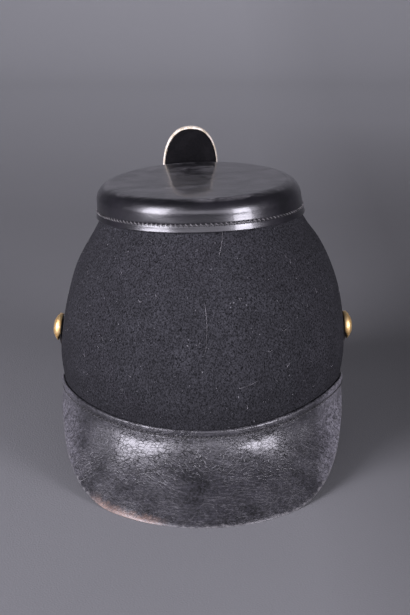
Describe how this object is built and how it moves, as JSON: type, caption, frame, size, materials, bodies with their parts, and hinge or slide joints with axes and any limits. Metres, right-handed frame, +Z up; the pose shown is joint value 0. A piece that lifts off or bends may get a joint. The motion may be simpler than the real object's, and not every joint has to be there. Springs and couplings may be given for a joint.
{
  "type": "shako hat",
  "caption": "Tall stiff cap with a bulging cloth-covered body, sloping leather crown, front and rear peaks, side buttons with a chin strap, and an oval cockade with a braid rim.",
  "frame": {"origin": "on the surface the cap stands on, under the middle of its bounding box", "axes": "+Y the way the wearer faces, +Z up, +X to the wearer's right; the picture looks along +Y at the back"},
  "size_m": [0.1882, 0.2828, 0.1819],
  "materials": {
    "black_cloth": "matt milled wool cloth over stiff felt",
    "crown_leather": "polished black",
    "peak_leather": "black lacquer, finely cracked and scuffed",
    "strap_leather": "semi-gloss black",
    "gilt_brass": "polished gilt",
    "gold_bullion": "twisted pale gold wire",
    "black_velvet": "matt",
    "steel_pin": "satin"
  },
  "bodies": {
    "root": {"body": "black_cloth", "crown": "crown_leather", "rear_peak": "peak_leather", "front_peak": "peak_leather", "chin_strap": "strap_leather", "button_left": "gilt_brass", "button_right": "gilt_brass", "cockade_pad": "black_velvet", "cockade_braid": "gold_bullion", "cockade_pin": "steel_pin"}
  },
  "joints": []
}
